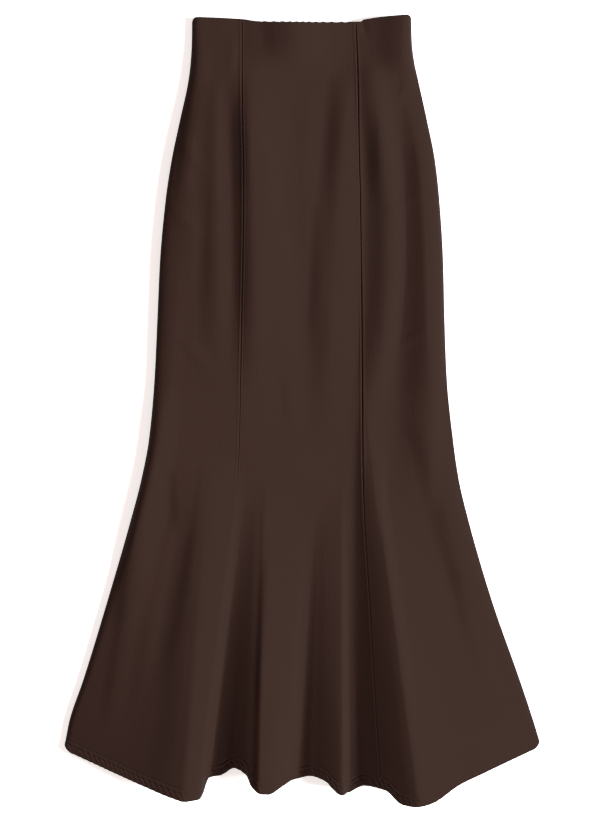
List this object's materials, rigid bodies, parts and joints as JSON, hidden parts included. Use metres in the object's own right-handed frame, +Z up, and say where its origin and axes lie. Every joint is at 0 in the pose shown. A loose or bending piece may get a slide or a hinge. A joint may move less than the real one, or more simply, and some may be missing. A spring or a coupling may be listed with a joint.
{
  "type": "mermaid fishtail skirt",
  "caption": "Long mermaid skirt of smooth brown stretch knit, laid flat face up, close from waist to knee and opening into soft folds at a fishtail hem.",
  "frame": {"origin": "on the surface the skirt lies on, under the middle of its outline", "axes": "+Y along the skirt towards its waist, +Z up out of the surface and out of the skirt's front, +X to the right as seen from above"},
  "size_m": [0.6115, 0.9881, 0.0445],
  "materials": {
    "knit": "smooth matt stretch knit, dark chocolate brown"
  },
  "bodies": {
    "root": {"centre_front": "knit", "side_front_left": "knit", "side_front_right": "knit", "centre_back": "knit", "side_back_left": "knit", "side_back_right": "knit"}
  },
  "joints": []
}
